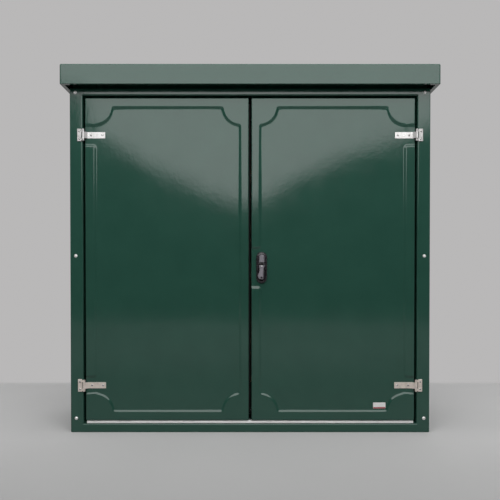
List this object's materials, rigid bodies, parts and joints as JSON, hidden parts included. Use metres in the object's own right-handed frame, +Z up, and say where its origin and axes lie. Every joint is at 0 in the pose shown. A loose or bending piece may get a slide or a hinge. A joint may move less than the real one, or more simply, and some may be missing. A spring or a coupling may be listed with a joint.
{
  "type": "roadside utility cabinet",
  "caption": "Free-standing moulded cabinet with two hinged doors, an overhanging roof, a swing handle that drives locking rods, and a mounting board inside.",
  "frame": {"origin": "on the ground, midway between the four anchor holes in the base flange", "axes": "+Z up, the doors face -Y, +X to the right as seen from the front"},
  "size_m": [1.188, 0.465, 1.177],
  "materials": {
    "green_gelcoat": "dark green moulded gelcoat, glossy, slightly wavy",
    "liner_gelcoat": "green flowcoat on the inner side",
    "hinge_steel": "brushed stainless",
    "screw_steel": "stainless",
    "sill_aluminium": "satin",
    "zinc_plate": "zinc plated",
    "seal_rubber": "matt black",
    "handle_black": "fine texture",
    "handle_grey": "satin",
    "board_plywood": "plywood",
    "batten_timber": "sawn softwood"
  },
  "bodies": {
    "cabinet": {"rear_shell": "green_gelcoat", "front_frame": "green_gelcoat", "roof": "green_gelcoat", "door_seal": "seal_rubber", "sill_strip": "sill_aluminium", "mounting_board": "board_plywood", "upper_batten": "batten_timber", "lower_batten": "batten_timber", "board_screws": "zinc_plate", "frame_screws": "screw_steel", "frame_nuts": "zinc_plate", "roof_screws": "zinc_plate", "upper_left_leaf": "hinge_steel", "lower_left_leaf": "hinge_steel", "upper_right_leaf": "hinge_steel", "lower_right_leaf": "hinge_steel", "upper_left_pin": "hinge_steel", "lower_left_pin": "hinge_steel", "upper_right_pin": "hinge_steel", "lower_right_pin": "hinge_steel", "leaf_screws": "hinge_steel"},
    "left_door": {"left_door_skin": "green_gelcoat", "left_door_liner": "liner_gelcoat", "meeting_seal": "seal_rubber", "upper_left_strap": "hinge_steel", "lower_left_strap": "hinge_steel", "left_strap_screws": "hinge_steel", "upper_bolt_bracket": "zinc_plate", "lower_bolt_bracket": "zinc_plate", "bracket_screws": "zinc_plate"},
    "right_door": {"right_door_skin": "green_gelcoat", "right_door_liner": "liner_gelcoat", "lock_block": "batten_timber", "upper_right_strap": "hinge_steel", "lower_right_strap": "hinge_steel", "right_strap_screws": "hinge_steel", "handle_base": "handle_black", "hub_nut": "zinc_plate", "lock_case": "zinc_plate", "lock_cover": "zinc_plate", "case_screws": "zinc_plate", "upper_rod_guide": "handle_black", "lower_rod_guide": "handle_black", "guide_screws": "zinc_plate"},
    "handle": {"handle_hub": "handle_grey", "spindle": "zinc_plate", "pinion": "zinc_plate", "lever_pin": "screw_steel"},
    "lever": {"handle_lever": "handle_grey", "lever_rivet": "screw_steel"},
    "key": {"key_barrel": "handle_black"},
    "upper_lock_rod": {"upper_rod": "zinc_plate"},
    "lower_lock_rod": {"lower_rod": "zinc_plate"},
    "upper_door_bolt": {"upper_bolt": "zinc_plate"},
    "lower_door_bolt": {"lower_bolt": "zinc_plate"}
  },
  "joints": [
    {"name": "left_door_hinge", "type": "hinge", "parent": "cabinet", "child": "left_door", "pos_m": [-0.5308, -0.205, 0.55], "axis": [0, 0, -1], "range_deg": [0, 170]},
    {"name": "right_door_hinge", "type": "hinge", "parent": "cabinet", "child": "right_door", "pos_m": [0.5308, -0.205, 0.55], "axis": [0, 0, 1], "range_deg": [0, 170]},
    {"name": "handle_turn", "type": "hinge", "parent": "right_door", "child": "handle", "pos_m": [0.0369, -0.2, 0.557], "axis": [0, -1, 0], "range_deg": [0, 90]},
    {"name": "lever_lift", "type": "hinge", "parent": "handle", "child": "lever", "pos_m": [0.0369, -0.2095, 0.5398], "axis": [-1, 0, 0], "range_deg": [0, 35]},
    {"name": "key_turn", "type": "hinge", "parent": "lever", "child": "key", "pos_m": [0.0361, -0.213, 0.4965], "axis": [0, -1, 0], "range_deg": [0, 90]},
    {"name": "upper_rod_slide", "type": "slide", "parent": "right_door", "child": "upper_lock_rod", "axis": [0, 0, -1], "range_m": [0, 0.01885]},
    {"name": "lower_rod_slide", "type": "slide", "parent": "right_door", "child": "lower_lock_rod", "axis": [0, 0, 1], "range_m": [0, 0.01886]},
    {"name": "upper_bolt_slide", "type": "slide", "parent": "left_door", "child": "upper_door_bolt", "axis": [0, 0, 1], "range_m": [0, 0.016]},
    {"name": "lower_bolt_slide", "type": "slide", "parent": "left_door", "child": "lower_door_bolt", "axis": [0, 0, -1], "range_m": [0, 0.016]}
  ],
  "couplings": [
    {"joint": "handle_turn", "follows": "upper_rod_slide", "rad_per_m": 83.333},
    {"joint": "lower_rod_slide", "follows": "upper_rod_slide", "ratio": 1}
  ]
}
